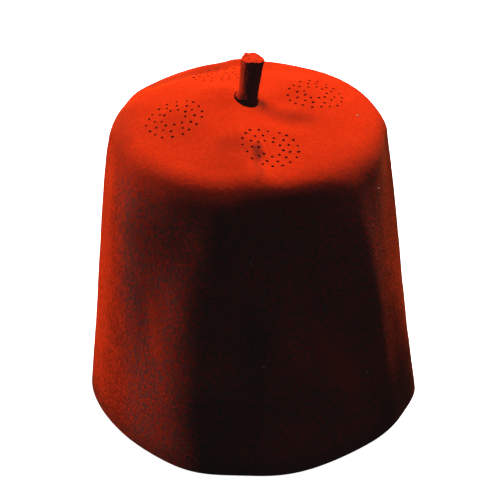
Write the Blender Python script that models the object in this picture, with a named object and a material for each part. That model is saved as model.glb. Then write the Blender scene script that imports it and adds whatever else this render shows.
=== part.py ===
"""A fez: one blocked felt cap with four rosettes of vent holes, and a felt tassel stem.

The cap stands on its rim at z = 0, +Z up, and its box is centred on the origin.
The tables and sizes below are in millimetres and degrees. MM turns them into metres
when a vertex is made. Azimuth 0 is +X and azimuth -90 is the front, -Y.
"""
import math
from collections import namedtuple

import bmesh
import bpy
from mathutils import Matrix, Vector

MM = 0.001

# Felt cap
FELT = 2.4              # thickness of the felt
RIM_RADIUS = 93.2       # mean outer radius at the rim
EDGE_RADIUS = 76.5      # where the wall's line meets the crown's line
EDGE_HEIGHT = 179.3
SHOULDER_RADIUS = 18.0  # round edge between wall and crown
CROWN_SLOPE = 0.246     # slope of the crown at the shoulder, level in the middle
CROWN_SHIFT = Vector((-2.7, 0.4, 0.0))  # how far the crown stands off the rim's middle

# Stem and the hole that it stands in. The slack of the hole is behind the stem and to its
# left.
STEM_PLACE = (-3.3, 1.1)
STEM_RADIUS = 4.9
STEM_LEAN = math.radians(5.6)
HOLE_RADIUS = 6.8
HOLE_SLACK = (-0.2, 0.6)
HOLE_PLACE = (STEM_PLACE[0] + HOLE_SLACK[0], STEM_PLACE[1] + HOLE_SLACK[1])
FIT_GAP = 0.4
CUT_ROUGHNESS = 0.5     # how uneven the stem's cut end is

# The stem's rings, from the foot inside the cap up to the cut end: height above the
# felt's under face at the hole, and radius.
StemRing = namedtuple("StemRing", "height radius")
STEM_RINGS = (
    StemRing(-5.0, 7.6),
    StemRing(-4.2, 9.0),
    StemRing(-2.4, 9.0),
    StemRing(-FIT_GAP, STEM_RADIUS),
    StemRing(4.0, STEM_RADIUS),
    StemRing(11.0, 5.2),
    StemRing(19.0, 5.5),
    StemRing(25.0, 5.9),
    StemRing(28.4, 6.3),
    StemRing(30.5, 6.4),
    StemRing(31.1, 5.7),
)

# Rosettes of vent holes, three rings of holes each
VENT_RADIUS = 0.65
VENT_WOBBLE = 0.4       # how far the punch strayed
VENT_SIDES = 6
VENT_REACH = 6.0        # half the length of a punch
Ring = namedtuple("Ring", "radius holes")
VENT_RINGS = (Ring(14.9, 18), Ring(10.5, 12), Ring(6.4, 9))
# Where the middle of each is, and the azimuth of each ring's first hole.
Rosette = namedtuple("Rosette", "x y outer_first middle_first inner_first")
ROSETTES = (
    Rosette(34.5, 13.7, 2, 22, 4),       # right
    Rosette(-19.5, 43.5, 15, 10, 15),    # back
    Rosette(-42.6, -11.3, 7, 25, 28),    # left
    Rosette(9.3, -38.8, 13, 22, 37),     # front
)

# Mesh density
SIDES = 64
WALL_HEIGHTS = (0, 9, 26, 48, 70, 92, 114, 134, 151)
SHOULDER_STEPS = 4
CROWN_RINGS = (57, 49, 41, 33, 25, 17, 10.5)
STEM_SIDES = 14

# The rim's outline: waves round the cap, each a share of the rim's radius, with a
# crest at the right. They fade to nothing at the crown.
Wave = namedtuple("Wave", "count share")
RIM_WAVES = (
    Wave(2, 0.030),
    Wave(4, 0.0146),
    Wave(6, 0.005),
)

# Soft folds in the wall: where the middle of each is, how it leans (degrees of
# azimuth for each mm of height), its half width in degrees and half height in mm,
# and how far it stands out.
Fold = namedtuple("Fold", "azimuth height lean half_width half_height out")
WALL_FOLDS = (
    Fold(-113, 64, -0.03, 13, 104, 3.1),    # upright ridge, front left
    Fold(-90, 98, 0.03, 10, 110, -2.0),     # hollow down the middle of the front
    Fold(-70, 101, -0.11, 14, 110, -3.1),   # pressed flat, right of that hollow
    Fold(-37, 83, -0.10, 8, 92, 3.2),       # upright ridge, front right
    Fold(-21, 71, -0.27, 17, 98, 3.2),      # broad swell, front right
    Fold(-45, 15, -0.47, 8, 110, 1.1),      # slanting ridge across it
    Fold(-58, 165, 0.50, 29, 57, -3.2),     # pressed in under the front right shoulder
    Fold(-14, 114, 0.15, 17, 109, -3.2),    # pressed flat at the right
    Fold(10, 116, -0.04, 6, 88, 2.5),       # ridge behind that flat
    Fold(-1, 24, -0.05, 6, 38, -3.2),       # hollow over the flare of the rim, right
    Fold(-89, 111, -0.31, 10, 42, 0.5),     # slight swell high in front
    Fold(-94, 36, 0.27, 14, 97, -1.1),      # slight hollow low in front
    Fold(-107, 136, -0.31, 14, 19, -1.0),   # dent under the front left shoulder
    Fold(-111, 49, 0.42, 27, 21, 2.8),      # swell low at the front left
    Fold(-118, 140, 0.24, 11, 110, -1.8),   # hollow left of the upright ridge
    Fold(-139, 115, 0.02, 10, 76, 1.6),     # second ridge, left
    Fold(-144, 145, 0.02, 16, 20, 3.1),     # swell under the left shoulder
    Fold(-160, 102, -0.50, 30, 79, 1.3),    # the left side stands out a little
    Fold(-169, 135, -0.03, 11, 109, -2.6),  # hollow far round the left
)

# Dents in the crown: where the middle of each is, the azimuth that it runs along,
# its half length and half width, and how far it stands up.
Dent = namedtuple("Dent", "x y along half_length half_width up")
CROWN_DENTS = (
    Dent(9.5, -1, 38, 23, 10.5, -3.5),        # sunk right of the stem
    Dent(15.5, -12.5, -26, 13, 7.5, -2.4),    # valley from the stem to the right
    Dent(-34, -1, 33, 24.5, 16, 2.1),         # crest at the left
    Dent(-4, -36.5, 99, 34.5, 11.5, 3.3),     # crest from the stem to the front
    Dent(5.5, -50.5, 44, 10, 7, -1.7),        # pinch that runs over the front edge
    Dent(11.5, -33.5, 89, 24, 16.5, -3.7),    # the front right falls away
    Dent(-47, -28, 127, 37, 13, -2.0),        # the front left falls away
    Dent(34.5, 18, 100, 20, 12.5, 3.2),       # swell at the right
    Dent(65, 28, 134, 21, 11.5, 0.4),         # the edge stands a little high at the back right
    Dent(-7, 6.5, -29, 25.5, 12.5, 3.1),      # crest that slants past the back of the stem
    Dent(-17.5, 53, 6, 47.5, 14.5, -3.4),     # edge fallen in at the back left
)


def smooth(share):
    """Ease a share from 0 to 1."""
    share = min(1.0, max(0.0, share))
    return share * share * (3.0 - 2.0 * share)


def bell(distance):
    return math.exp(-distance * distance)


# ---------------------------------------------------------------- the block's profile

WALL_LEAN = math.atan2(RIM_RADIUS - EDGE_RADIUS, EDGE_HEIGHT)
SHOULDER_TURN = math.pi / 2 - WALL_LEAN - math.atan(CROWN_SLOPE)
SHOULDER_START = SHOULDER_RADIUS * math.tan(SHOULDER_TURN / 2)


def shoulder_point(step):
    """Radius and height on the round edge, from the wall (0) to the crown (1)."""
    start_radius = EDGE_RADIUS + SHOULDER_START * math.sin(WALL_LEAN)
    start_height = EDGE_HEIGHT - SHOULDER_START * math.cos(WALL_LEAN)
    middle_radius = start_radius - SHOULDER_RADIUS * math.cos(WALL_LEAN)
    middle_height = start_height - SHOULDER_RADIUS * math.sin(WALL_LEAN)
    tilt = WALL_LEAN + SHOULDER_TURN * step
    return (middle_radius + SHOULDER_RADIUS * math.cos(tilt),
            middle_height + SHOULDER_RADIUS * math.sin(tilt))


SHOULDER_BASE = shoulder_point(0.0)
CROWN_START = shoulder_point(1.0)
CROWN_TOP = CROWN_START[1] + CROWN_SLOPE * CROWN_START[0] / 2


def wall_radius(height):
    return RIM_RADIUS - height * math.tan(WALL_LEAN)


def dome_height(radius):
    """Height of the smooth crown: it steepens evenly from its middle to the shoulder."""
    return CROWN_TOP - CROWN_SLOPE * radius * radius / (2 * CROWN_START[0])


def stations():
    """Radius and height of each ring of the cap, from the rim to the stem's hole."""
    rows = [(wall_radius(height), height) for height in WALL_HEIGHTS]
    rows += [shoulder_point(step / SHOULDER_STEPS) for step in range(SHOULDER_STEPS + 1)]
    rows += [(radius, dome_height(radius)) for radius in CROWN_RINGS]
    rows.append((HOLE_RADIUS, dome_height(HOLE_RADIUS)))
    return rows


# ---------------------------------------------------------------- folds and dents

def rim_share(azimuth, height):
    """How much wider than round the cap is, as a share of its radius."""
    fade = 1.0 - height / CROWN_TOP
    return fade * sum(wave.share * math.cos(wave.count * azimuth) for wave in RIM_WAVES)


def fold_depth(azimuth, height):
    total = 0.0
    for fold in WALL_FOLDS:
        middle = fold.azimuth + fold.lean * (height - fold.height)
        off = (math.degrees(azimuth) - middle + 180.0) % 360.0 - 180.0
        total += (fold.out * bell(off / fold.half_width)
                  * bell((height - fold.height) / fold.half_height))
    return total * (1.0 - smooth((height - SHOULDER_BASE[1]) / SHOULDER_RADIUS))


def dent_height(x, y):
    total = 0.0
    for dent in CROWN_DENTS:
        along = math.radians(dent.along)
        length = (x - dent.x) * math.cos(along) + (y - dent.y) * math.sin(along)
        width = (y - dent.y) * math.cos(along) - (x - dent.x) * math.sin(along)
        total += dent.up * bell(length / dent.half_length) * bell(width / dent.half_width)
    return total


def crown_height(x, y):
    """Height of the crown's upper face, dents and all."""
    radius = math.hypot(x - CROWN_SHIFT.x, y - CROWN_SHIFT.y)
    return dome_height(radius) + dent_height(x, y)


def crown_normal(x, y):
    """Which way the crown's upper face points, from its slope over half a millimetre."""
    step = 0.25
    return Vector((crown_height(x - step, y) - crown_height(x + step, y),
                   crown_height(x, y - step) - crown_height(x, y + step),
                   2 * step)).normalized()


def ring_middle(radius, height):
    """The rings slide from the rim's middle to the crown's, then to the stem's hole."""
    middle = CROWN_SHIFT * math.sin(math.pi / 2 * height / CROWN_TOP)
    hole = Vector((*HOLE_PLACE, 0.0))
    to_hole = 1.0 - smooth((radius - HOLE_RADIUS) / (CROWN_RINGS[2] - HOLE_RADIUS))
    return middle.lerp(hole, to_hole)


def skin_point(radius, height, azimuth):
    """A point of the felt's outer face."""
    middle = ring_middle(radius, height)
    reach = radius * (1.0 + rim_share(azimuth, height)) + fold_depth(azimuth, height)
    x = middle.x + reach * math.cos(azimuth)
    y = middle.y + reach * math.sin(azimuth)
    if radius < CROWN_START[0]:
        return Vector((x, y, crown_height(x, y)))
    sag = smooth((height - SHOULDER_BASE[1]) / (CROWN_START[1] - SHOULDER_BASE[1]))
    return Vector((x, y, height + sag * dent_height(x, y)))


# ---------------------------------------------------------------- mesh helpers

def ring_azimuths(sides):
    return [2 * math.pi * side / sides for side in range(sides)]


def add_rings(mesh, rings):
    return [[mesh.verts.new(point * MM) for point in ring] for ring in rings]


def bridge(mesh, lower, upper):
    count = len(lower)
    for side in range(count):
        after = (side + 1) % count
        mesh.faces.new((lower[side], lower[after], upper[after], upper[side]))


def felt_material(name, colour):
    material = bpy.data.materials.new(name)
    material.use_nodes = True
    shader = material.node_tree.nodes["Principled BSDF"]
    shader.inputs["Base Color"].default_value = (*colour, 1.0)
    shader.inputs["Roughness"].default_value = 0.95
    shader.inputs["Metallic"].default_value = 0.0
    return material


def add_object(name, mesh, material=None):
    bmesh.ops.recalc_face_normals(mesh, faces=mesh.faces)
    data = bpy.data.meshes.new(name)
    mesh.to_mesh(data)
    mesh.free()
    data.shade_smooth()
    data.set_sharp_from_angle(angle=math.radians(40))
    if material:
        data.materials.append(material)
    thing = bpy.data.objects.new(name, data)
    bpy.context.collection.objects.link(thing)
    return thing


# ---------------------------------------------------------------- the pieces

def outer_rings():
    return [[skin_point(radius, height, azimuth) for azimuth in ring_azimuths(SIDES)]
            for radius, height in stations()]


def inner_rings(outer):
    """The same rings one felt thickness in from the outer face. The rim stays level."""
    rings = []
    last = len(outer) - 1
    for row, ring in enumerate(outer):
        below = outer[max(row - 1, 0)]
        above = outer[min(row + 1, last)]
        inner = []
        for side, point in enumerate(ring):
            across = ring[(side + 1) % SIDES] - ring[side - 1]
            normal = across.cross(above[side] - below[side])
            if row == 0:
                normal.z = 0.0
            inner.append(point - normal.normalized() * FELT)
        rings.append(inner)
    return rings


def box_middle(rings):
    points = [point for ring in rings for point in ring]
    return Vector([(min(p[axis] for p in points) + max(p[axis] for p in points)) / 2
                   for axis in (0, 1)] + [0.0])


def moved(rings, centre):
    return [[point - centre for point in ring] for ring in rings]


def make_cap(outer, centre, material):
    """The felt shell: its outer and inner faces, joined at the rim and at the hole."""
    mesh = bmesh.new()
    skin = add_rings(mesh, moved(outer, centre))
    inside = add_rings(mesh, moved(inner_rings(outer), centre))
    for rings in (skin, inside):
        for lower, upper in zip(rings, rings[1:]):
            bridge(mesh, lower, upper)
    bridge(mesh, skin[0], inside[0])
    bridge(mesh, skin[-1], inside[-1])
    bmesh.ops.recalc_face_normals(mesh, faces=mesh.faces)
    bmesh.ops.triangulate(mesh, faces=mesh.faces)
    return add_object("felt_cap", mesh, material)


def vent_places():
    """Where each vent hole goes, as x and y on the crown."""
    for rosette in ROSETTES:
        for ring, first in zip(VENT_RINGS, rosette[2:]):
            for hole in range(ring.holes):
                spot = math.radians(first + 360.0 * hole / ring.holes)
                stray = rosette.x + 7.0 * hole + ring.radius
                yield (rosette.x + ring.radius * math.cos(spot) + VENT_WOBBLE * math.sin(stray),
                       rosette.y + ring.radius * math.sin(spot) + VENT_WOBBLE * math.cos(2 * stray))


def make_vent_punches(centre):
    """One six-sided punch through the crown for each vent hole, square to the felt."""
    mesh = bmesh.new()
    for x, y in vent_places():
        spot = Vector((x, y, crown_height(x, y)))
        normal = crown_normal(x, y)
        turn = normal.to_track_quat("Z", "X").to_matrix().to_4x4()
        place = Matrix.Translation((spot - centre - normal * FELT / 2) * MM) @ turn
        bmesh.ops.create_cone(mesh, cap_ends=True, cap_tris=False, segments=VENT_SIDES,
                              radius1=VENT_RADIUS * MM, radius2=VENT_RADIUS * MM,
                              depth=VENT_REACH * 2 * MM, matrix=place)
    punches = add_object("vent_punches", mesh)
    punches.hide_render = True
    punches.display_type = "WIRE"
    return punches


def punch(cap, punches):
    cut = cap.modifiers.new("vents", "BOOLEAN")
    cut.operation = "DIFFERENCE"
    cut.solver = "EXACT"
    cut.object = punches


def hole_floor():
    """Lowest height of the crown's upper face round the stem's hole."""
    return min(crown_height(HOLE_PLACE[0] + HOLE_RADIUS * math.cos(azimuth),
                            HOLE_PLACE[1] + HOLE_RADIUS * math.sin(azimuth))
               for azimuth in ring_azimuths(SIDES))


def make_stem(centre, material):
    """A round stub with a foot inside the cap, which flares and leans to the right."""
    under_face = hole_floor() - FELT
    rings = []
    for number, row in enumerate(STEM_RINGS):
        lean = max(0.0, row.height - FELT) * math.tan(STEM_LEAN)
        cut_end = number >= len(STEM_RINGS) - 2
        ring = []
        for azimuth in ring_azimuths(STEM_SIDES):
            wobble = CUT_ROUGHNESS * math.sin(3 * azimuth + 1.0) if cut_end else 0.0
            ring.append(Vector((STEM_PLACE[0] + lean + row.radius * math.cos(azimuth),
                                STEM_PLACE[1] + row.radius * math.sin(azimuth),
                                under_face + row.height + wobble)))
        rings.append(ring)
    mesh = bmesh.new()
    stem = add_rings(mesh, moved(rings, centre))
    for lower, upper in zip(stem, stem[1:]):
        bridge(mesh, lower, upper)
    mesh.faces.new(stem[0])
    mesh.faces.new(stem[-1])
    bmesh.ops.triangulate(mesh, faces=mesh.faces)
    return add_object("tassel_stem", mesh, material)


def main():
    for thing in list(bpy.data.objects):
        bpy.data.objects.remove(thing, do_unlink=True)
    outer = outer_rings()
    centre = box_middle(outer)
    cap = make_cap(outer, centre, felt_material("felt_red", (0.60, 0.035, 0.012)))
    punch(cap, make_vent_punches(centre))
    make_stem(centre, felt_material("stem_felt", (0.34, 0.025, 0.012)))


main()
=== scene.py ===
import math
from collections import namedtuple

import bpy
import numpy as np
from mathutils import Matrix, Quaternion, Vector, noise


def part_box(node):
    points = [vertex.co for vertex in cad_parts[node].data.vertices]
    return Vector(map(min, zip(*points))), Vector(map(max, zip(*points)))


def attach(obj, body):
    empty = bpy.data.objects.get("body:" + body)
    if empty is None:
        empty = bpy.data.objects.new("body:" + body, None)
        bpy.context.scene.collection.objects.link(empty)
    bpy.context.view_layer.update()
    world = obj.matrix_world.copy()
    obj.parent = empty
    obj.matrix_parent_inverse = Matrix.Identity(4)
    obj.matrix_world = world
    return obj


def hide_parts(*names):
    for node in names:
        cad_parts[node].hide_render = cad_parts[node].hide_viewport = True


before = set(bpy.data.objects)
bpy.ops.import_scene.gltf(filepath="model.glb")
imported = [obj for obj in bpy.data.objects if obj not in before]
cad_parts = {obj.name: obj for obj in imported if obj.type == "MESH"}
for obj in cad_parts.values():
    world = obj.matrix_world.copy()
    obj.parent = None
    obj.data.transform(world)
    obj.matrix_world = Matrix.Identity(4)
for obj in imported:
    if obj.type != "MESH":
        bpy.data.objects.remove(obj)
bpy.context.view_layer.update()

MM = 0.001

# ---------------------------------------------------------------- sizes of the block

FELT = 2.4              # thickness of the felt
RIM_RADIUS = 93.2       # mean outer radius at the rim
EDGE_RADIUS = 76.5      # where the wall's line meets the crown's line
EDGE_HEIGHT = 179.3
SHOULDER_RADIUS = 18.0  # of the round edge between wall and crown
CROWN_SLOPE = 0.246     # where the crown meets that edge
CROWN_SHIFT = (-2.7, 0.4)       # how far the crown's middle stands off the rim's

STEM_PLACE = (-3.3, 1.1)
STEM_LEAN = math.radians(5.6)
HOLE_RADIUS = 6.8
HOLE_SLACK = (-0.2, 0.6)        # how far the hole's middle stands off the stem's
HOLE_PLACE = (STEM_PLACE[0] + HOLE_SLACK[0], STEM_PLACE[1] + HOLE_SLACK[1])
BLEND_RADIUS = 41.0     # inside it the rings slide over to the stem's hole

# Waves of the rim: how many go round it, and how high they are as a share of its radius.
Wave = namedtuple("Wave", "count share")
RIM_WAVES = (
    Wave(2, 0.030),
    Wave(4, 0.0146),
    Wave(6, 0.005),
)

# Folds of the wall: where each has its middle, how many degrees it leans for each
# millimetre up, its half width in degrees, its half height, and how far out it stands.
Fold = namedtuple("Fold", "azimuth height lean half_width half_height out")
WALL_FOLDS = (
    Fold(-113, 64, -0.03, 13, 104, 3.1),    # upright ridge, front left
    Fold(-90, 98, 0.03, 10, 110, -2.0),     # hollow down the middle of the front
    Fold(-70, 101, -0.11, 14, 110, -3.1),   # pressed flat, right of that hollow
    Fold(-37, 83, -0.10, 8, 92, 3.2),       # upright ridge, front right
    Fold(-21, 71, -0.27, 17, 98, 3.2),      # broad swell, front right
    Fold(-45, 15, -0.47, 8, 110, 1.1),      # slanting ridge across it
    Fold(-58, 165, 0.50, 29, 57, -3.2),     # pressed in under the front right shoulder
    Fold(-14, 114, 0.15, 17, 109, -3.2),    # pressed flat at the right
    Fold(10, 116, -0.04, 6, 88, 2.5),       # ridge behind that flat
    Fold(-1, 24, -0.05, 6, 38, -3.2),       # hollow over the flare of the rim, right
    Fold(-89, 111, -0.31, 10, 42, 0.5),     # slight swell high in front
    Fold(-94, 36, 0.27, 14, 97, -1.1),      # slight hollow low in front
    Fold(-107, 136, -0.31, 14, 19, -1.0),   # dent under the front left shoulder
    Fold(-111, 49, 0.42, 27, 21, 2.8),      # swell low at the front left
    Fold(-118, 140, 0.24, 11, 110, -1.8),   # hollow left of the upright ridge
    Fold(-139, 115, 0.02, 10, 76, 1.6),     # second ridge, left
    Fold(-144, 145, 0.02, 16, 20, 3.1),     # swell under the left shoulder
    Fold(-160, 102, -0.50, 30, 79, 1.3),    # the left side stands out a little
    Fold(-169, 135, -0.03, 11, 109, -2.6),  # hollow far round the left
)

# Dents and crests of the crown: the middle of each, the azimuth that it runs along, its half
# length and half width, and how far up it stands.
Dent = namedtuple("Dent", "x y along half_length half_width up")
CROWN_DENTS = (
    Dent(9.5, -1, 38, 23, 10.5, -3.5),        # sunk right of the stem
    Dent(15.5, -12.5, -26, 13, 7.5, -2.4),    # valley from the stem to the right
    Dent(-34, -1, 33, 24.5, 16, 2.1),         # crest at the left
    Dent(-4, -36.5, 99, 34.5, 11.5, 3.3),     # crest from the stem to the front
    Dent(5.5, -50.5, 44, 10, 7, -1.7),        # pinch that runs over the front edge
    Dent(11.5, -33.5, 89, 24, 16.5, -3.7),    # the front right falls away
    Dent(-47, -28, 127, 37, 13, -2.0),        # the front left falls away
    Dent(34.5, 18, 100, 20, 12.5, 3.2),       # swell at the right
    Dent(65, 28, 134, 21, 11.5, 0.4),         # the edge stands a little high at the back right
    Dent(-7, 6.5, -29, 25.5, 12.5, 3.1),      # crest that slants past the back of the stem
    Dent(-17.5, 53, 6, 47.5, 14.5, -3.4),     # edge fallen in at the back left
)

# Mesh density: sides round the cap, and steps from ring to ring.
SIDES = 256
WALL_STEP = 2.3
SHOULDER_STEP = 1.3
CROWN_STEP = 1.15


# ---------------------------------------------------------------- vent holes

# Each rosette is three rings of holes. Its row gives its middle on the crown, the azimuth
# of each ring's first hole and how wide its holes are, as a share of the plain size.
Ring = namedtuple("Ring", "radius holes")
VENT_RINGS = (Ring(14.9, 18), Ring(10.5, 12), Ring(6.4, 9))
Rosette = namedtuple("Rosette", "x y outer_first middle_first inner_first size")
ROSETTES = (
    Rosette(34.5, 13.7, 2, 22, 4, 1.0),         # right
    Rosette(-19.5, 43.5, 15, 10, 15, 0.9),      # back
    Rosette(-42.6, -11.3, 7, 25, 28, 1.0),      # left
    Rosette(9.3, -38.8, 13, 22, 37, 1.0),       # front
)
VENT_STRAY = 1.2        # how far the hand-held punch strayed
STRAY_SPAN = 3.1        # holes much nearer than this stray the same way
STRAY_LAYERS = (4.5, 9.5)       # where the noise is read, for x and for y
VENT_RADIUS = 0.65
VENT_UNEVEN = 0.25      # how much the radius varies, as a share
VENT_MOUTH = 0.86       # radius where the punch pulled the felt down
VENT_MOUTH_DEPTH = 0.5
PUNCH_TOP = 0.9         # how far the punch stands up out of the felt
PUNCH_FLARE = 1.25      # how much wider it gets there
VENT_SIDES = 9


# ---------------------------------------------------------------- wear, and painted light and shade

# Lumps in the face of the felt, in three sizes: how far out they stand, about how wide
# they are, and where in the noise they start.
Lumps = namedtuple("Lumps", "out span start")
FELT_LUMPS = (
    Lumps(0.22, 31.0, (0, 0, 0)),
    Lumps(0.14, 13.0, (7, 3, 1)),
    Lumps(0.06, 5.0, (2, 9, 4)),
)
TRUE_RIM = 6.0          # below this height the felt gets truer, down to the rim
RIM_SNAP = 0.4          # points lower than this are set level on the rim's plane

# Dark patches laid on the felt: dirt in the front rosette, and painted shade and painted
# shadow in the rest. The middle of each, how far it reaches along each axis, and how
# strong it is.
DarkPatch = namedtuple("DarkPatch", "middle reach share")
DARK_PATCHES = (
    DarkPatch((2.6, -43.5, 183.0), (4.5, 9.0, 12.0), 0.6),      # in the front rosette
    DarkPatch((4.5, -60.0, 178.0), (3.0, 8.0, 12.0), 0.35),     # painted shade down the pinch
    DarkPatch((3.2, 1.0, 187.0), (6.0, 5.0, 8.0), 0.8),         # painted shadow of the stem, right of its foot
    DarkPatch((86.0, -32.0, 12.0), (34.0, 46.0, 36.0), 0.9),    # painted shade low at the right
)

# Creases of the felt, each along a line from start to end, most with painted light on them.
# Their last column above 0 is a painted highlight, and below 0 it is painted shade.
Crease = namedtuple("Crease", "start end half_width out tint")
CREASES = (
    Crease((-55, 28, 183), (-33, 42, 183), 2.6, 0.5, 0.5),      # ridge, back left, with a painted highlight
    Crease((-33, 42, 183), (-8, 57, 181), 2.6, 0.5, 0.5),       # the same ridge, on, with a painted highlight
    Crease((-57, 38, 181), (-20, 61, 180), 5.5, -0.4, -0.38),   # hollow behind it, with painted shade
    Crease((1.8, -43, 187), (1.8, -69, 181), 1.7, -0.35, -0.4), # pinch over the edge, with painted shade
    Crease((5, -1, 189), (31, -13, 187), 4.5, -0.1, -0.35),     # painted shadow of the stem, to the right
    Crease((-15, -39, 188), (-4, -43, 188), 6.0, -0.1, -0.3),   # painted shade left of the front rosette
    Crease((23, -79, 117), (36, -78, 88), 5.0, 0.5, 0.5),       # slanting crease, front, with a painted highlight
    Crease((36, -78, 88), (57, -68, 47), 6.5, 0.5, 0.5),        # the same crease, lower, with a painted highlight
    Crease((2, -84, 105), (0, -88, 62), 10.0, -0.2, -0.5),      # painted shade in a strip down the front
    Crease((-54, -62, 103), (-50, -69, 70), 4.5, 0.4, 0.5),     # ridge, left, with a painted highlight
    Crease((-64, -52, 140), (-66, -54, 108), 8.0, -0.3, -0.4),  # hollow, left, with painted shade
    Crease((-91, -12, 40), (-78, -12, 150), 21.0, 0.0, 0.35),   # painted light on the far left side
    Crease((-72, 6, 180), (-72, -20, 180), 8.0, 0.0, -0.35),    # painted shade on the left shoulder
    Crease((-80, 12, 170), (-75, 24, 173), 11.0, -1.2, -0.1),   # pressed shoulder, left, with a little painted shade
    Crease((-10, 70, 179), (-6, 70, 179), 6.0, 1.3, 0.0),       # edge raised behind the stem
)


# ---------------------------------------------------------------- the block's form

def smooth(share):
    """Ease a share from 0 to 1."""
    share = np.clip(share, 0.0, 1.0)
    return share * share * (3.0 - 2.0 * share)


def bell(distance):
    """1 in the middle, falling away to 0 on both sides."""
    return np.exp(-distance * distance)


WALL_LEAN = math.atan2(RIM_RADIUS - EDGE_RADIUS, EDGE_HEIGHT)
SHOULDER_TURN = math.pi / 2 - WALL_LEAN - math.atan(CROWN_SLOPE)
SHOULDER_START = SHOULDER_RADIUS * math.tan(SHOULDER_TURN / 2)


def shoulder_point(step):
    """Radius and height on the round edge, from the wall (0) to the crown (1)."""
    start_radius = EDGE_RADIUS + SHOULDER_START * math.sin(WALL_LEAN)
    start_height = EDGE_HEIGHT - SHOULDER_START * math.cos(WALL_LEAN)
    middle_radius = start_radius - SHOULDER_RADIUS * math.cos(WALL_LEAN)
    middle_height = start_height - SHOULDER_RADIUS * math.sin(WALL_LEAN)
    tilt = WALL_LEAN + SHOULDER_TURN * step
    return (middle_radius + SHOULDER_RADIUS * math.cos(tilt),
            middle_height + SHOULDER_RADIUS * math.sin(tilt))


SHOULDER_BASE = shoulder_point(0.0)
CROWN_START = shoulder_point(1.0)
CROWN_TOP = CROWN_START[1] + CROWN_SLOPE * CROWN_START[0] / 2


def dome_height(radius):
    """Height of the smooth crown: it steepens evenly from its middle to the shoulder."""
    return CROWN_TOP - CROWN_SLOPE * radius * radius / (2 * CROWN_START[0])


def spread(start, end, step):
    """Evenly spaced values from start up to end, about a step apart."""
    count = max(1, round(abs(end - start) / step))
    return [start + (end - start) * row / count for row in range(count)]


def block_profile():
    """Radius and height up the wall, over the shoulder and in to the stem's hole."""
    wall = [(RIM_RADIUS - height * math.tan(WALL_LEAN), height)
            for height in spread(0.0, SHOULDER_BASE[1], WALL_STEP)]
    arc = SHOULDER_RADIUS * SHOULDER_TURN
    shoulder = [shoulder_point(along / arc) for along in spread(0.0, arc, SHOULDER_STEP)]
    crown = [(radius, dome_height(radius))
             for radius in spread(CROWN_START[0], HOLE_RADIUS, CROWN_STEP)]
    return wall + shoulder + crown + [(HOLE_RADIUS, dome_height(HOLE_RADIUS))]


def rim_share(azimuth, height):
    """How far the rim's waves push the wall out, as a share of its radius."""
    fade = 1.0 - height / CROWN_TOP
    return fade * sum(wave.share * np.cos(wave.count * azimuth) for wave in RIM_WAVES)


def fold_depth(azimuth, height):
    """How far the folds push the wall out. They die out over the shoulder."""
    total = np.zeros_like(height)
    for fold in WALL_FOLDS:
        middle = fold.azimuth + fold.lean * (height - fold.height)
        off = (np.degrees(azimuth) - middle + 180.0) % 360.0 - 180.0
        total += (fold.out * bell(off / fold.half_width)
                  * bell((height - fold.height) / fold.half_height))
    return total * (1.0 - smooth((height - SHOULDER_BASE[1]) / SHOULDER_RADIUS))


def dent_height(x, y):
    """How far the dents and crests move the crown up."""
    total = np.zeros_like(x)
    for dent in CROWN_DENTS:
        along = math.radians(dent.along)
        length = (x - dent.x) * math.cos(along) + (y - dent.y) * math.sin(along)
        width = (y - dent.y) * math.cos(along) - (x - dent.x) * math.sin(along)
        total += dent.up * bell(length / dent.half_length) * bell(width / dent.half_width)
    return total


def crown_height(x, y):
    """Height of the crown's upper face, dents and all."""
    radius = np.hypot(x - CROWN_SHIFT[0], y - CROWN_SHIFT[1])
    return dome_height(radius) + dent_height(x, y)


def on_crown(x, y):
    """A point of the crown's upper face, and which way the face points there."""
    x, y = np.float64(x), np.float64(y)
    step = 0.25         # to each side, to read the slope
    slope = Vector((crown_height(x - step, y) - crown_height(x + step, y),
                    crown_height(x, y - step) - crown_height(x, y + step), 2 * step))
    return Vector((x, y, crown_height(x, y))), slope.normalized()


def pressed(radius, height, azimuth):
    """Where points of the plain block come to lie on the worn cap."""
    rise = np.sin(np.pi / 2 * height / CROWN_TOP)
    to_hole = 1.0 - smooth((radius - HOLE_RADIUS) / (BLEND_RADIUS - HOLE_RADIUS))
    middle_x = CROWN_SHIFT[0] * rise * (1.0 - to_hole) + HOLE_PLACE[0] * to_hole
    middle_y = CROWN_SHIFT[1] * rise * (1.0 - to_hole) + HOLE_PLACE[1] * to_hole
    reach = radius * (1.0 + rim_share(azimuth, height)) + fold_depth(azimuth, height)
    x = middle_x + reach * np.cos(azimuth)
    y = middle_y + reach * np.sin(azimuth)
    inside_edge = radius < CROWN_START[0] - 0.001
    sag = smooth((height - SHOULDER_BASE[1]) / (CROWN_START[1] - SHOULDER_BASE[1]))
    z = np.where(inside_edge, crown_height(x, y), height + sag * dent_height(x, y))
    return np.stack((x, y, z), axis=1)


def on_wall(azimuth, height):
    """A point of the wall's outer face, and which way the plain wall points there."""
    turn = math.radians(azimuth)
    radius = RIM_RADIUS - height * math.tan(WALL_LEAN)
    place = pressed(np.array([radius]), np.array([float(height)]), np.array([turn]))[0]
    return Vector(place), Vector((math.cos(turn), math.sin(turn), math.sin(WALL_LEAN)))


# ---------------------------------------------------------------- bench helpers

def deselect_all():
    """Leave edit mode, with nothing selected."""
    if bpy.context.object and bpy.context.object.mode != "OBJECT":
        bpy.ops.object.mode_set(mode="OBJECT")
    bpy.ops.object.select_all(action="DESELECT")


def pick(thing):
    """Make one object the selected, active one."""
    deselect_all()
    thing.select_set(True)
    bpy.context.view_layer.objects.active = thing


def apply_modifiers(thing):
    """Turn what an object's modifiers do into its mesh."""
    pick(thing)
    for modifier in list(thing.modifiers):
        bpy.ops.object.modifier_apply(modifier=modifier.name)


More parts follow.
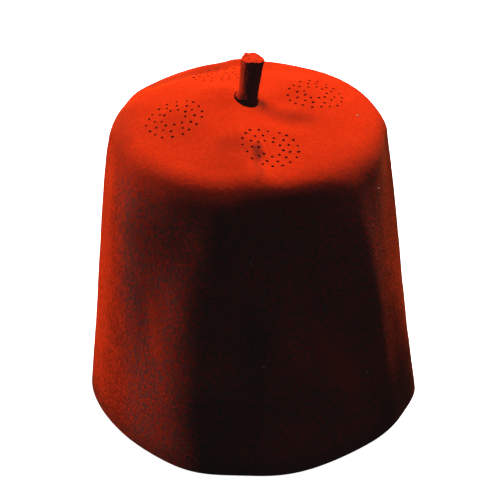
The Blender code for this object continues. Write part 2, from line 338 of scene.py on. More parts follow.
def vertex_rows(thing, field="co"):
    """A row for each vertex, with its place or its normal."""
    rows = np.empty(len(thing.data.vertices) * 3)
    thing.data.vertices.foreach_get(field, rows)
    return rows.reshape(-1, 3)


def move_vertices(thing, rows):
    """Move each vertex to the place in its row."""
    thing.data.vertices.foreach_set("co", rows.ravel())
    thing.data.update()


def note_on_vertices(thing, name, values):
    """Keep a number for each vertex, for the felt's colours."""
    thing.data.attributes.new(name, "FLOAT", "POINT").data.foreach_set("value", values)


def draw_profile(name, points):
    """A chain of edges in the X-Z plane, drawn point by point from one vertex."""
    deselect_all()
    start = Vector((points[0][0], 0.0, points[0][1])) * MM
    bpy.ops.mesh.primitive_plane_add(size=MM, location=start)
    chain = bpy.context.object
    chain.name = name
    bpy.ops.object.mode_set(mode="EDIT")
    bpy.ops.mesh.select_mode(type="VERT")
    bpy.ops.mesh.select_all(action="SELECT")
    bpy.ops.mesh.merge(type="CENTER")
    for before, after in zip(points, points[1:]):
        step = Vector((after[0] - before[0], 0.0, after[1] - before[1])) * MM
        bpy.ops.mesh.extrude_region_move(TRANSFORM_OT_translate={"value": step})
    bpy.ops.object.mode_set(mode="OBJECT")
    bpy.ops.object.transform_apply(location=True, rotation=True, scale=True)
    return chain


def turn_profile(chain, sides):
    """Spin the chain round the Z axis and close the seam."""
    pick(chain)
    bpy.ops.object.mode_set(mode="EDIT")
    bpy.ops.mesh.select_all(action="SELECT")
    bpy.ops.mesh.spin(steps=sides, angle=2 * math.pi, center=(0, 0, 0), axis=(0, 0, 1))
    bpy.ops.mesh.select_all(action="SELECT")
    bpy.ops.mesh.remove_doubles(threshold=0.00001)
    bpy.ops.mesh.normals_make_consistent(inside=False)
    bpy.ops.object.mode_set(mode="OBJECT")


def smooth_faces(thing, angle):
    """Shade smoothly, but keep edges that are sharper than the angle."""
    pick(thing)
    bpy.ops.object.shade_smooth_by_angle(angle=math.radians(angle))


# ---------------------------------------------------------------- felt cap

def unevenness(x, y, z):
    """How far the felt stands off the true block here, in millimetres."""
    spot = Vector((x, y, z))
    return sum(lumps.out * noise.noise(spot / lumps.span + Vector(lumps.start))
               for lumps in FELT_LUMPS)


def nearness(points, crease):
    """1 on a crease, falling away to 0 beside it and past its ends."""
    start, end = np.array(crease.start, float), np.array(crease.end, float)
    line = end - start
    along = np.clip((points - start) @ line / (line @ line), 0.0, 1.0)
    away = np.linalg.norm(points - start - along[:, None] * line, axis=1)
    return bell(away / crease.half_width)


def press_cap(cap):
    """Press the turned block into its folds and dents, and move it to its solid's place.

    Gives each vertex's place before that move, and the move, which the rest follows."""
    plain = vertex_rows(cap) / MM
    radius = np.hypot(plain[:, 0], plain[:, 1])
    azimuth = np.arctan2(plain[:, 1], plain[:, 0])
    placed = pressed(radius, plain[:, 2], azimuth)
    middle = [(placed[:, axis].min() + placed[:, axis].max()) / 2 for axis in (0, 1)]
    low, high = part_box("felt_cap")
    shift = np.array([(low[axis] + high[axis]) / 2 / MM - middle[axis]
                      for axis in (0, 1)] + [0.0])
    move_vertices(cap, (placed + shift) * MM)
    return placed, shift


def wear_cap(cap, placed, shift):
    """Make the felt uneven and creased, and note the painted highlights and shade on its
    creases.
    """
    normals = vertex_rows(cap, "normal")
    lift = np.array([unevenness(*spot) for spot in placed])
    tint = np.zeros(len(placed))
    for crease in CREASES:
        near = nearness(placed, crease)
        lift += crease.out * near
        tint += crease.tint * near
    lift *= smooth(placed[:, 2] / TRUE_RIM)
    # painted highlights (above 0) and painted shade (below 0), kept on the vertices
    note_on_vertices(cap, "tint", tint)
    move_vertices(cap, (placed + shift + normals * lift[:, None]) * MM)


def give_thickness(cap):
    """Thicken the felt inwards, set its rim level, and note which face is the inner one."""
    wall = cap.modifiers.new("felt", "SOLIDIFY")
    wall.thickness = FELT * MM
    wall.offset = -1.0
    wall.use_even_offset = True
    outer_points = len(cap.data.vertices)
    apply_modifiers(cap)
    rows = vertex_rows(cap)
    rows[rows[:, 2] < RIM_SNAP * MM, 2] = 0.0
    move_vertices(cap, rows)
    inner = np.zeros(len(cap.data.vertices))
    inner[outer_points:] = 1.0
    note_on_vertices(cap, "inner_face", inner)


def vent_spots():
    """Where each vent hole goes, as x and y on the crown, and its size."""
    for rosette in ROSETTES:
        firsts = (rosette.outer_first, rosette.middle_first, rosette.inner_first)
        for ring, first in zip(VENT_RINGS, firsts):
            for hole in range(ring.holes):
                turn = math.radians(first + 360.0 * hole / ring.holes)
                x = rosette.x + ring.radius * math.cos(turn)
                y = rosette.y + ring.radius * math.sin(turn)
                aside, ahead = (VENT_STRAY * noise.noise(Vector((x, y, layer)) / STRAY_SPAN)
                                for layer in STRAY_LAYERS)
                yield x + aside, y + ahead, rosette.size


def make_punch(number, x, y, size, shift):
    """One trumpet-shaped punch, square to the felt: narrow below, flared at the top."""
    size *= 1.0 + VENT_UNEVEN * noise.noise(Vector((x, y, 0.5)))
    radius, mouth = VENT_RADIUS * size, VENT_MOUTH * size
    place, normal = on_crown(x, y)
    middle = place + Vector(shift) - normal * (FELT + VENT_MOUTH_DEPTH)
    deselect_all()
    bpy.ops.mesh.primitive_cylinder_add(
        vertices=VENT_SIDES, radius=radius * MM, depth=2 * FELT * MM,
        location=middle * MM, rotation=normal.to_track_quat("Z", "X").to_euler())
    punch = bpy.context.object
    punch.name = f"punch_{number}"
    bpy.ops.object.mode_set(mode="EDIT")
    bpy.ops.mesh.select_mode(type="FACE")
    bpy.ops.mesh.select_all(action="DESELECT")
    bpy.ops.object.mode_set(mode="OBJECT")
    upper = max(punch.data.polygons, key=lambda face: face.center.z)
    upper.select = True
    bpy.ops.object.mode_set(mode="EDIT")
    for rise, flare in ((VENT_MOUTH_DEPTH, mouth / radius), (PUNCH_TOP, PUNCH_FLARE)):
        bpy.ops.mesh.extrude_region_move(TRANSFORM_OT_translate={
            "value": normal * rise * MM})
        bpy.ops.transform.resize(value=(flare, flare, flare))
    bpy.ops.object.mode_set(mode="OBJECT")
    return punch


def punch_vents(cap, shift):
    """Cut all the vent holes at once, with the punches joined into one tool."""
    punches = [make_punch(number, *spot, shift) for number, spot in enumerate(vent_spots())]
    deselect_all()
    for punch in punches:
        punch.select_set(True)
    bpy.context.view_layer.objects.active = punches[0]
    bpy.ops.object.join()
    tool = bpy.context.object
    cut = cap.modifiers.new("vents", "BOOLEAN")
    cut.operation = "DIFFERENCE"
    cut.solver = "EXACT"
    cut.object = tool
    apply_modifiers(cap)
    bpy.data.objects.remove(tool, do_unlink=True)


def make_cap(material):
    """The worn cap. Gives the move to its solid's place."""
    cap = draw_profile("felt_cap_worn", block_profile())
    turn_profile(cap, SIDES)
    placed, shift = press_cap(cap)
    wear_cap(cap, placed, shift)
    give_thickness(cap)
    punch_vents(cap, shift)
    smooth_faces(cap, 38)
    cap.data.materials.append(material)
    cap.visible_diffuse = False
    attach(cap, "root")
    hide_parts("felt_cap")
    return shift


# ---------------------------------------------------------------- stem

# The stem's rings, from the foot inside the cap up to the cut end: height above the felt's
# under face at the hole, and radius.
StemRing = namedtuple("StemRing", "height radius")
STEM_RINGS = (
    StemRing(-5.0, 7.6),
    StemRing(-4.2, 9.0),
    StemRing(-2.4, 9.0),
    StemRing(-0.4, 4.9),
    StemRing(4.0, 4.9),
    StemRing(11.0, 5.2),
    StemRing(19.0, 5.5),
    StemRing(25.0, 5.9),
    StemRing(28.4, 6.2),
    StemRing(30.5, 6.2),
)
STEM_SIDES = 72
STEM_STEP = 0.6
STEM_WELD = 0.05        # points nearer than this are made one
CUT_INSETS = (0.94, 0.8, 0.6, 0.4, 0.2, 0.001)  # rings across the cut end, as shares
CUT_DOME = 0.35         # how far the cut end's middle stands up
CUT_BELOW = 3.5         # how far below its top the stem starts to take the cut's outline
FRAY_BELOW = 1.2        # how far below its top it starts to fray

# The stem's side is not round. It flares to the left just above the cap, and it is swollen
# to the right all the way up, most of all near the cap. Azimuths are in radians here.
SIDE_START = 1.0        # height where the side starts to stand out
SIDE_EASE = 3.0         # how much higher it stands out in full
CORE = 4.0              # radius inside which the cut end stands out less
FLARE = 1.95
FLARE_HEIGHT = 6.3
FLARE_AZIMUTH = math.pi - 0.5
SWELL = 0.55
SWELL_MORE = 0.6        # how much more it swells near the cap, as a share
SWELL_HEIGHT = 3.4      # height where it swells most
SWELL_AZIMUTH = -0.2
BULGE_SPAN = 2.6        # height over which a bulge fades to about a third

# The cut end's ragged outline
Corner = namedtuple("Corner", "azimuth radius")
CUT_CORNERS = (
    Corner(-169, 6.3),
    Corner(-141, 6.1),
    Corner(-115, 6.3),
    Corner(-56, 6.8),
    Corner(-29, 7.5),
    Corner(14, 5.4),
    Corner(76, 6.2),
    Corner(124, 6.7),
)


def cut_radius(azimuth):
    """Radius of the cut end's outline, which runs straight from corner to corner."""
    spins = [(math.degrees(azimuth) - corner.azimuth) % 360.0 for corner in CUT_CORNERS]
    start = min(range(len(spins)), key=spins.__getitem__)
    before, after = CUT_CORNERS[start], CUT_CORNERS[(start + 1) % len(CUT_CORNERS)]
    along = math.radians(spins[start])
    across = math.radians((after.azimuth - before.azimuth) % 360.0)
    return (before.radius * after.radius * math.sin(across)
            / (before.radius * math.sin(along) + after.radius * math.sin(across - along)))


def hole_floor():
    """Lowest height of the felt's under face at the stem's hole."""
    turns = np.linspace(0.0, 2 * math.pi, 65)
    return crown_height(HOLE_PLACE[0] + HOLE_RADIUS * np.cos(turns),
                        HOLE_PLACE[1] + HOLE_RADIUS * np.sin(turns)).min() - FELT


def stem_profile():
    """Radius and height up the side of the stem, and in across its cut end."""
    rows = []
    for lower, upper in zip(STEM_RINGS, STEM_RINGS[1:]):
        length = math.hypot(upper.height - lower.height, upper.radius - lower.radius)
        rows += [(lower.radius + (upper.radius - lower.radius) * step,
                  lower.height + (upper.height - lower.height) * step)
                 for step in spread(0.0, 1.0, STEM_STEP / max(STEM_STEP, length))]
    foot, top = STEM_RINGS[0], STEM_RINGS[-1]
    end = [(top.radius * share, top.height + CUT_DOME * (1.0 - share) ** 0.5)
           for share in CUT_INSETS]
    return [(0.01, foot.height)] + rows + [(top.radius, top.height)] + end


def bulged(radius, height, azimuth):
    """The radius of the stem's side where it is drawn out, fuller and lumpy."""
    on_side = float(smooth((height - SIDE_START) / SIDE_EASE)) * min(1.0, radius / CORE)
    flare, swell = (float(bell((height - middle) / BULGE_SPAN))
                    for middle in (FLARE_HEIGHT, SWELL_HEIGHT))
    flare *= FLARE * max(0.0, math.cos(azimuth - FLARE_AZIMUTH))
    swell = SWELL * (1.0 + SWELL_MORE * swell) * max(0.0, math.cos(azimuth - SWELL_AZIMUTH))
    spot = Vector((math.cos(azimuth) * 3, math.sin(azimuth) * 3, height / 4.5))
    lumps = 0.22 * noise.noise(spot / 1.6) + 0.12 * noise.noise(spot * 1.9)
    return radius + on_side * (flare + swell + lumps)


def worn_stem_point(radius, height, azimuth):
    """Where a point of the plain turned stem comes to lie, by its own axis."""
    top = STEM_RINGS[-1]
    to_cut = float(smooth((height - (top.height - CUT_BELOW)) / CUT_BELOW))
    radius *= 1.0 + to_cut * (cut_radius(azimuth) / top.radius - 1.0)
    radius = bulged(radius, height, azimuth)
    frayed = float(smooth((height - (top.height - FRAY_BELOW)) / FRAY_BELOW))
    spot = Vector((radius * math.cos(azimuth), radius * math.sin(azimuth), 3.0))
    rough = 0.5 * noise.noise(spot / 2.3) + 0.35 * noise.noise(spot * 1.1)
    return radius, height + frayed * rough


def make_stem(shift, material):
    """The stem as it stands in the crown's hole, leaning to the right."""
    stem = draw_profile("tassel_stem_worn", stem_profile())
    turn_profile(stem, STEM_SIDES)
    rows = vertex_rows(stem) / MM
    floor = hole_floor()
    for row in rows:
        azimuth = math.atan2(row[1], row[0])
        radius, height = worn_stem_point(math.hypot(row[0], row[1]), row[2], azimuth)
        lean = max(0.0, height - FELT) * math.tan(STEM_LEAN)
        row[:] = (STEM_PLACE[0] + lean + radius * math.cos(azimuth),
                  STEM_PLACE[1] + radius * math.sin(azimuth), floor + height)
    move_vertices(stem, (rows + np.array(shift)) * MM)
    pick(stem)
    bpy.ops.object.mode_set(mode="EDIT")
    bpy.ops.mesh.select_all(action="SELECT")
    bpy.ops.mesh.remove_doubles(threshold=STEM_WELD * MM)
    bpy.ops.mesh.normals_make_consistent(inside=False)
    bpy.ops.object.mode_set(mode="OBJECT")
    smooth_faces(stem, 50)
    stem.data.materials.append(material)
    stem.visible_diffuse = False
    stem.visible_shadow = False
    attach(stem, "root")
    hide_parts("tassel_stem")


# ---------------------------------------------------------------- lint

CROWN_LINT = ((57.5, -2.3),)                                        # x and y
WALL_LINT = ((-25, 156), (-89, 136), (-42, 50), (-85, 72))          # azimuth and height
LINT_RADIUS = 0.16
LINT_LENGTH = 1.9
LINT_BEND = 0.45        # how far a thread bends to the side
LINT_LIFT = 0.1         # how far it stands off the felt at its ends
LINT_ARCH = 0.2         # and how much further in its middle
LINT_TURN = 2.1         # how far each one is turned from the one before, in radians
LINT_POINTS = 9


def make_lint(shift, material):
    """A few pale threads that cling to the nap, each a thin bent tube."""
    drawing = bpy.data.curves.new("lint", "CURVE")
    drawing.dimensions = "3D"
    drawing.bevel_depth = LINT_RADIUS * MM
    drawing.bevel_resolution = 1
    drawing.use_fill_caps = True
    spots = [on_crown(*spot) for spot in CROWN_LINT] + [on_wall(*spot) for spot in WALL_LINT]
    for number, (place, normal) in enumerate(spots):
        along = normal.orthogonal().normalized()
        along.rotate(Quaternion(normal, LINT_TURN * number))
        across = normal.cross(along)
        thread = drawing.splines.new("POLY")
        thread.points.add(LINT_POINTS - 1)
        for step, point in enumerate(thread.points):
            share = step / (LINT_POINTS - 1)
            bend = math.sin(math.pi * share * (1.0 + 0.3 * (number % 3)))
            spot = (place + Vector(shift) + along * LINT_LENGTH * (share - 0.5)
                    + across * LINT_BEND * bend + normal * (LINT_LIFT + LINT_ARCH * bend))
            point.co = (*(spot * MM), 1.0)
            point.radius = 0.5 + math.sin(math.pi * share)
    lint = bpy.data.objects.new("lint_threads", drawing)
    bpy.context.scene.collection.objects.link(lint)
    pick(lint)
    bpy.ops.object.convert(target="MESH")
    lint = bpy.context.object
    smooth_faces(lint, 60)
    lint.data.materials.clear()
    lint.data.materials.append(material)
    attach(lint, "root")


# ---------------------------------------------------------------- node helpers

def feed(tree, value, socket):
    """Link another node's output to a socket, or set its number or colour."""
    if isinstance(value, bpy.types.NodeSocket):
        tree.links.new(value, socket)
    else:
        socket.default_value = value


def put(tree, kind, settings=None, **values):
    """Add a node, with its options set and its named sockets fed."""
    node = tree.nodes.new(kind)
    for option, choice in (settings or {}).items():
        setattr(node, option, choice)
    for name, value in values.items():
        feed(tree, value, node.inputs[name.replace("_", " ")])
    return node


def figure(tree, operation, *values):
    """The result of a Math node."""
    node = put(tree, "ShaderNodeMath", {"operation": operation})
    for value, socket in zip(values, node.inputs):
        feed(tree, value, socket)
    return node.outputs[0]


def arrow(tree, operation, *values):
    """The result of a Vector Math node."""
    node = put(tree, "ShaderNodeVectorMath", {"operation": operation})
    for value, socket in zip(values, node.inputs):
        feed(tree, value, socket)
    return node.outputs["Value" if operation == "LENGTH" else "Vector"]


def stretch(tree, value, low, high, to_low=0.0, to_high=1.0):
    """A value eased from one span to another."""
    node = put(tree, "ShaderNodeMapRange", {"interpolation_type": "SMOOTHSTEP"}, Value=value,
               From_Min=low, From_Max=high, To_Min=to_low, To_Max=to_high)
    return node.outputs["Result"]


def blend(tree, share, under, over):
    """One colour laid over another."""
    node = put(tree, "ShaderNodeMix", {"data_type": "RGBA"})
    for value, socket in zip((share, under, over), (node.inputs[0], *node.inputs[6:8])):
        feed(tree, value, socket)
    return node.outputs[2]


def start_group(name, given, made):
    """An empty node group with these sockets, by name and sort."""
    tree = bpy.data.node_groups.new(name, "ShaderNodeTree")
    for side, sockets in (("INPUT", given), ("OUTPUT", made)):
        for label, sort in sockets:
            tree.interface.new_socket(name=label, in_out=side,
                                      socket_type=f"NodeSocket{sort}")
    return (tree, tree.nodes.new("NodeGroupInput").outputs,
            tree.nodes.new("NodeGroupOutput").inputs)


def place_group(tree, group, **values):
    """Use a node group here, with its sockets fed. Gives what it makes."""
    return put(tree, "ShaderNodeGroup", {"node_tree": group}, **values).outputs


def ease(tree, place, span, at_start, at_end):
    """A value that eases from one to another between two places, in millimetres."""
    return stretch(tree, place, span[0] * MM, span[1] * MM, at_start, at_end)


def vertex_note(tree, name):
    """The number that the piece's vertices keep under this name."""
    return put(tree, "ShaderNodeAttribute", {"attribute_name": name}).outputs["Fac"]


# ---------------------------------------------------------------- felt effects

# Which way each layer of fibres lies, in radians
FIBRE_TURNS = ((0.4, 0.2, 0.0), (1.5, 0.5, 0.7), (0.7, 1.6, 0.3), (1.1, 0.8, 2.2))
FIBRE_CURL = 2.0        # how far the fibres wander


def matted_wool():
    """Lumps of matted wool, and the fine fibres that lie across them every way."""
    tree, given, made = start_group(
        "matted_wool",
        (("Place", "Vector"), ("Lumps per Metre", "Float"), ("Fibres per Metre", "Float")),
        (("Lumps", "Float"), ("Fibres", "Float")))
    lumps = put(tree, "ShaderNodeTexNoise", Vector=given["Place"],
                Scale=given["Lumps per Metre"], Detail=3.0, Roughness=0.62)
    tree.links.new(stretch(tree, lumps.outputs["Fac"], 0.3, 0.7), made["Lumps"])
    curl = put(tree, "ShaderNodeTexNoise", Vector=given["Place"],
               Scale=given["Lumps per Metre"], Detail=1.0)
    stray = arrow(tree, "SUBTRACT", curl.outputs["Color"], (0.5, 0.5, 0.5))
    bent = arrow(tree, "ADD", given["Place"],
                 arrow(tree, "MULTIPLY", stray, (FIBRE_CURL * MM,) * 3))
    strands = 0.0
    for turn in FIBRE_TURNS:
        laid = put(tree, "ShaderNodeMapping", Vector=bent, Rotation=turn,
                   Scale=(1.0, 1.0, 0.12))
        strand = put(tree, "ShaderNodeTexNoise", Vector=laid.outputs["Vector"],
                     Scale=given["Fibres per Metre"], Detail=1.0)
        strands = figure(tree, "MAXIMUM", strands, strand.outputs["Fac"])
    tree.links.new(stretch(tree, strands, 0.5, 0.78), made["Fibres"])
    return tree


def soft_patch():
    """A patch with a ragged edge: 1 in its middle and 0 outside it."""
    tree, given, made = start_group(
        "soft_patch",
        (("Place", "Vector"), ("Middle", "Vector"), ("Reach", "Vector"), ("Ragged", "Float")),
        (("Mask", "Float"),))
    off = arrow(tree, "DIVIDE", arrow(tree, "SUBTRACT", given["Place"], given["Middle"]),
                given["Reach"])
    ragged = put(tree, "ShaderNodeTexNoise", Vector=given["Place"], Scale=420.0, Detail=3.0)
    torn = figure(tree, "MULTIPLY", figure(tree, "SUBTRACT", ragged.outputs["Fac"], 0.5),
                  given["Ragged"])
    far = figure(tree, "ADD", arrow(tree, "LENGTH", off), torn)
    tree.links.new(stretch(tree, far, 0.25, 1.0, 1.0, 0.0), made["Mask"])
    return tree


# ---------------------------------------------------------------- felts

# Colours of the cap
DULL_RED = (0.58, 0.021, 0.0016, 1.0)           # clean felt, in its duller clouds
BRIGHT_RED = (0.66, 0.027, 0.0022, 1.0)         # and in its brighter ones
PIT_SHADE_RED = (0.34, 0.011, 0.001, 1.0)             # painted shade between the lumps of wool
FIBRE_RED = (0.74, 0.042, 0.005, 1.0)           # fibres that lie on top
# Specks of painted shade: red where the sides are lit, grey where the front is shaded
LIT_SPECK_RED = (0.16, 0.009, 0.001, 1.0)
SHADED_SPECK_GREY = (0.085, 0.048, 0.042, 1.0)
# painted highlight, laid where the creases' last column is above 0
HIGHLIGHT_RED = (0.86, 0.04, 0.004, 1.0)
# dark red for dirt, for painted shade and for painted shadow
DIRT_AND_SHADE = (0.085, 0.012, 0.006, 1.0)
INSIDE_RED = (0.34, 0.018, 0.004, 1.0)

# Colours of the stem and the lint
GROOVE_RED = (0.52, 0.018, 0.003, 1.0)
STEM_RED = (0.70, 0.030, 0.005, 1.0)
STEM_FIBRE_RED = (0.72, 0.06, 0.02, 1.0)
DULL_LINT = (0.62, 0.42, 0.36, 1.0)
PALE_LINT = (0.86, 0.78, 0.70, 1.0)

# Where the cap's specks, darkening and raised nap fade, from their first place to their second
SPECKLED_WALL = (158, 186)      # height where the wall's specks of painted shade fade
SPECKLED_FRONT = (0, 60)        # and how far back
SHADED_SPECK_SPAN = (64, 78)          # how far to either side the specks are grey, as shade; further out they are red, as lit
DARK_RIM_SPAN = (2, 16)            # height where the darkening towards the rim ends
ROUGH_WALL = (130, 165)         # height where the wall's raised nap gives way


def start_felt(name):
    """A new material: its tree, its shader and its place on the piece."""
    material = bpy.data.materials.new(name)
    material.use_nodes = True
    tree = material.node_tree
    shader = tree.nodes["Principled BSDF"]
    shader.inputs["Specular IOR Level"].default_value = 0.0
    shader.inputs["Sheen Weight"].default_value = 0.08
    shader.inputs["Sheen Roughness"].default_value = 0.4
    shader.inputs["Sheen Tint"].default_value = (1.0, 0.22, 0.03, 1.0)
    place = tree.nodes.new("ShaderNodeTexCoord").outputs["Object"]
    return material, tree, shader, place


def raise_nap(tree, shader, height, depth, strength):
    """Raise the face in fine bumps, this deep in millimetres."""
    bump = put(tree, "ShaderNodeBump", Height=height, Distance=depth * MM,
               Strength=strength)
    tree.links.new(bump.outputs["Normal"], shader.inputs["Normal"])


def clean_felt(tree, wool, clouds):
    """The red of clean felt: cloudy, with painted shade in its pits, and brighter on its
    fibres.
    """
    colour = blend(tree, stretch(tree, clouds, 0.25, 0.75), DULL_RED, BRIGHT_RED)
    pit_shade = figure(tree, "MULTIPLY", figure(tree, "SUBTRACT", 1.0, wool["Lumps"]), 0.3)
    colour = blend(tree, pit_shade, colour, PIT_SHADE_RED)
    return blend(tree, figure(tree, "MULTIPLY", wool["Fibres"], 0.22), colour, FIBRE_RED)


def paint_speckled_shade(tree, colour, place, clouds, tint):
    """Specks of painted shade, the nap's mottle under raking light: grey where the front is
    shaded, red where the sides are lit. They are fainter on the crown, fewer on highlights.
    """
    x, y, height = put(tree, "ShaderNodeSeparateXYZ", Vector=place).outputs
    wall_share = figure(tree, "MULTIPLY", ease(tree, height, SPECKLED_WALL, 1.0, 0.0),
                     ease(tree, y, SPECKLED_FRONT, 1.0, 0.35))
    grains = put(tree, "ShaderNodeTexNoise", Vector=place, Scale=480.0, Detail=3.0,
                 Roughness=0.65)
    bare = figure(tree, "MULTIPLY_ADD", tint, 0.12, grains.outputs["Fac"])
    drift = figure(tree, "MULTIPLY_ADD", clouds, 0.12, -0.06)
    specks = stretch(tree, figure(tree, "ADD", bare, drift), 0.42, 0.60, 1.0, 0.0)
    amount = figure(tree, "MULTIPLY_ADD", wall_share, 0.62, 0.12)
    # grey specks as shade in front, red specks as lit on the far sides
    shaded_share = figure(tree, "MULTIPLY", wall_share,
                    ease(tree, figure(tree, "ABSOLUTE", x), SHADED_SPECK_SPAN, 1.0, 0.0))
    shade = blend(tree, shaded_share, LIT_SPECK_RED, SHADED_SPECK_GREY)
    return blend(tree, figure(tree, "MULTIPLY", specks, amount), colour, shade)


def soil_and_shade(tree, colour, place, height, tint, patch_group):
    """Darker towards the rim, painted shade on the creases, and dark patches of dirt and
    painted shade.
    """
    darkening = figure(tree, "MAXIMUM", ease(tree, height, DARK_RIM_SPAN, 0.55, 0.0),
                  figure(tree, "MULTIPLY", tint, -0.7))
    colour = blend(tree, darkening, colour, DIRT_AND_SHADE)
    # Dark patches: dirt in the front rosette, painted shade and painted shadow in the rest
    for dark_patch in DARK_PATCHES:
        patch = place_group(tree, patch_group, Place=place, Middle=Vector(dark_patch.middle) * MM,
                            Reach=Vector(dark_patch.reach) * MM, Ragged=1.1)
        share = figure(tree, "MULTIPLY", patch["Mask"], dark_patch.share)
        colour = blend(tree, share, colour, DIRT_AND_SHADE)
    return colour


def cap_felt(wool_group, patch_group):
    """Bright red wool felt, matted in small lumps, with painted light and shade, some dirt,
    and duller inside.
    """
    material, tree, shader, place = start_felt("red_felt")
    wool = place_group(tree, wool_group, Place=place, Lumps_per_Metre=560.0,
                       Fibres_per_Metre=2600.0)
    clouds = put(tree, "ShaderNodeTexNoise", Vector=place, Scale=42.0,
                 Detail=3.0).outputs["Fac"]
    height = put(tree, "ShaderNodeSeparateXYZ", Vector=place).outputs["Z"]
    tint = vertex_note(tree, "tint")
    colour = paint_speckled_shade(tree, clean_felt(tree, wool, clouds), place, clouds, tint)
    # Painted highlights on the creases and on the far left side
    highlight_share = figure(tree, "MINIMUM", figure(tree, "MAXIMUM", tint, 0.0), 1.0)
    colour = blend(tree, highlight_share, colour, HIGHLIGHT_RED)
    colour = soil_and_shade(tree, colour, place, height, tint, patch_group)
    inside = figure(tree, "MULTIPLY", vertex_note(tree, "inner_face"), 0.55)
    colour = blend(tree, inside, colour, INSIDE_RED)
    tree.links.new(colour, shader.inputs["Base Color"])
    tree.links.new(stretch(tree, wool["Lumps"], 0.0, 1.0, 0.98, 0.86),
                   shader.inputs["Roughness"])
    nap = figure(tree, "ADD", wool["Lumps"], figure(tree, "MULTIPLY", wool["Fibres"], 0.3))
    raise_nap(tree, shader, nap, 0.3, ease(tree, height, ROUGH_WALL, 0.75, 0.25))
    return material


def stem_felt(wool_group):
    """The same felt rolled tight, with grooves drawn out along the stem."""
    material, tree, shader, place = start_felt("stem_felt")
    wool = place_group(tree, wool_group, Place=place, Lumps_per_Metre=700.0,
                       Fibres_per_Metre=2600.0)
    drawn = put(tree, "ShaderNodeMapping", Vector=place, Scale=(1.0, 1.0, 0.3))
    streaks = put(tree, "ShaderNodeTexNoise", Vector=drawn.outputs["Vector"], Scale=600.0,
                  Detail=3.0)
    ridges = stretch(tree, streaks.outputs["Fac"], 0.35, 0.65)
    colour = blend(tree, ridges, GROOVE_RED, STEM_RED)
    strands = figure(tree, "MULTIPLY", wool["Fibres"], 0.25)
    colour = blend(tree, strands, colour, STEM_FIBRE_RED)
    tree.links.new(colour, shader.inputs["Base Color"])
    tree.links.new(stretch(tree, wool["Lumps"], 0.0, 1.0, 0.98, 0.88),
                   shader.inputs["Roughness"])
    raise_nap(tree, shader, figure(tree, "ADD", wool["Lumps"], ridges), 0.25, 0.9)
    return material


def lint_wool(wool_group):
    """Pale dust-coloured wool."""
    material, tree, shader, place = start_felt("pale_lint")
    wool = place_group(tree, wool_group, Place=place, Lumps_per_Metre=2000.0,
                       Fibres_per_Metre=6000.0)
    colour = blend(tree, wool["Lumps"], DULL_LINT, PALE_LINT)
    tree.links.new(colour, shader.inputs["Base Color"])
    raise_nap(tree, shader, wool["Fibres"], 0.03, 0.5)
    return material


# ---------------------------------------------------------------- picture

FOCAL_LENGTH = 1729.4   # in pixels, as the picture's width is
PICTURE_WIDTH = 502
SENSOR_WIDTH = 36.0
CAMERA_PLACE = (-1.17, -827.12, 655.34)
LOOK_DOWN = 34.255

FLOOR_SHADE_SPAN = (70, 78)   # the floor turns from painted shade inside the rim to white between these radii

# Softboxes that face the middle of the hat. Their sizes and distance are in metres, and
# their power is in watts.
Softbox = namedtuple("Softbox", "name azimuth elevation width height power")
SOFTBOXES = (
    Softbox("key", 71, 51, 0.6, 0.4, 40.0),             # high behind the hat
    Softbox("low_left", 154, -1.5, 1.3, 0.1, 31.0),     # low strip behind the left side
    Softbox("overhead", 100, 82, 0.5, 0.5, 6.0),
    Softbox("fill_right", -20, 35, 0.6, 0.6, 0.45),
)
SOFTBOX_AIM = (0, 0, 0.1)
SOFTBOX_DISTANCE = 1.6

GLOW = 0.008            # strength of the light from all round
BACKDROP = 1.0          # strength of the white that the camera sees
BLACK_LIFT = 0.0036     # how far the picture's blacks are raised


def make_camera():
    """A camera that stands where the picture was taken from."""
    data = bpy.data.cameras.new("picture_camera")
    data.sensor_width = SENSOR_WIDTH
    data.lens = FOCAL_LENGTH / PICTURE_WIDTH * SENSOR_WIDTH
    data.clip_start = 0.05
    data.clip_end = 20.0
    camera = bpy.data.objects.new("picture_camera", data)
    camera.location = Vector(CAMERA_PLACE) * MM
    camera.rotation_euler = (math.radians(90 - LOOK_DOWN), 0.0, 0.0)
    bpy.context.scene.collection.objects.link(camera)
    bpy.context.scene.camera = camera


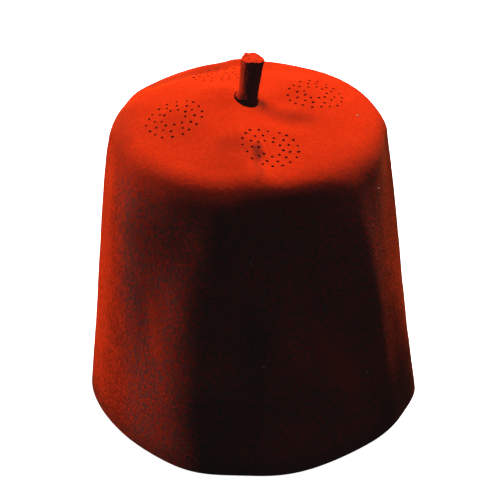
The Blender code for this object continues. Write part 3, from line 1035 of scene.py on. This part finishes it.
def make_floor():
    """A white floor that glows evenly, with painted shade inside the hat's rim."""
    deselect_all()
    bpy.ops.mesh.primitive_plane_add(size=8.0, location=(0, 0, 0))
    floor = bpy.context.object
    floor.name = "floor"
    material = bpy.data.materials.new("pale_floor")
    material.use_nodes = True
    tree = material.node_tree
    shader = tree.nodes["Principled BSDF"]
    shader.inputs["Base Color"].default_value = (0.9, 0.9, 0.9, 1.0)
    shader.inputs["Roughness"].default_value = 0.9
    shader.inputs["Emission Color"].default_value = (1.0, 1.0, 1.0, 1.0)
    away = arrow(tree, "LENGTH", tree.nodes.new("ShaderNodeTexCoord").outputs["Object"])
    tree.links.new(ease(tree, away, FLOOR_SHADE_SPAN, 0.02, 0.97),
                   shader.inputs["Emission Strength"])
    floor.data.materials.append(material)
    floor.visible_diffuse = False
    floor.visible_glossy = False


def hang_softbox(box):
    """Hang one softbox and turn it to the hat."""
    data = bpy.data.lights.new(box.name, "AREA")
    data.shape = "RECTANGLE"
    data.size = box.width
    data.size_y = box.height
    data.energy = box.power
    light = bpy.data.objects.new(box.name, data)
    turn, rise = math.radians(box.azimuth), math.radians(box.elevation)
    away = Vector((math.cos(turn) * math.cos(rise), math.sin(turn) * math.cos(rise),
                   math.sin(rise)))
    light.location = Vector(SOFTBOX_AIM) + away * SOFTBOX_DISTANCE
    light.rotation_euler = away.to_track_quat("Z", "Y").to_euler()
    bpy.context.scene.collection.objects.link(light)


def light_world():
    """White behind the hat, and only a dim glow from all round on it."""
    world = bpy.data.worlds.new("studio")
    bpy.context.scene.world = world
    world.use_nodes = True
    tree = world.node_tree
    tree.nodes.clear()
    seen = put(tree, "ShaderNodeBackground", Strength=BACKDROP)
    glow = put(tree, "ShaderNodeBackground", Strength=GLOW)
    path = put(tree, "ShaderNodeLightPath")
    mix = put(tree, "ShaderNodeMixShader")
    out = put(tree, "ShaderNodeOutputWorld")
    tree.links.new(path.outputs["Is Camera Ray"], mix.inputs[0])
    tree.links.new(glow.outputs[0], mix.inputs[1])
    tree.links.new(seen.outputs[0], mix.inputs[2])
    tree.links.new(mix.outputs[0], out.inputs["Surface"])


def lift_blacks():
    """Plain colours, with the blacks lifted a little."""
    view = bpy.context.scene.view_settings
    view.view_transform = "Standard"
    view.use_curve_mapping = True
    view.curve_mapping.black_level = (-BLACK_LIFT,) * 3
    view.curve_mapping.update()


def main():
    """Make the three pieces, and the stage that they are pictured on."""
    wool = matted_wool()
    shift = make_cap(cap_felt(wool, soft_patch()))
    make_stem(shift, stem_felt(wool))
    make_lint(shift, lint_wool(wool))
    make_floor()
    make_camera()
    for box in SOFTBOXES:
        hang_softbox(box)
    light_world()
    lift_blacks()


main()
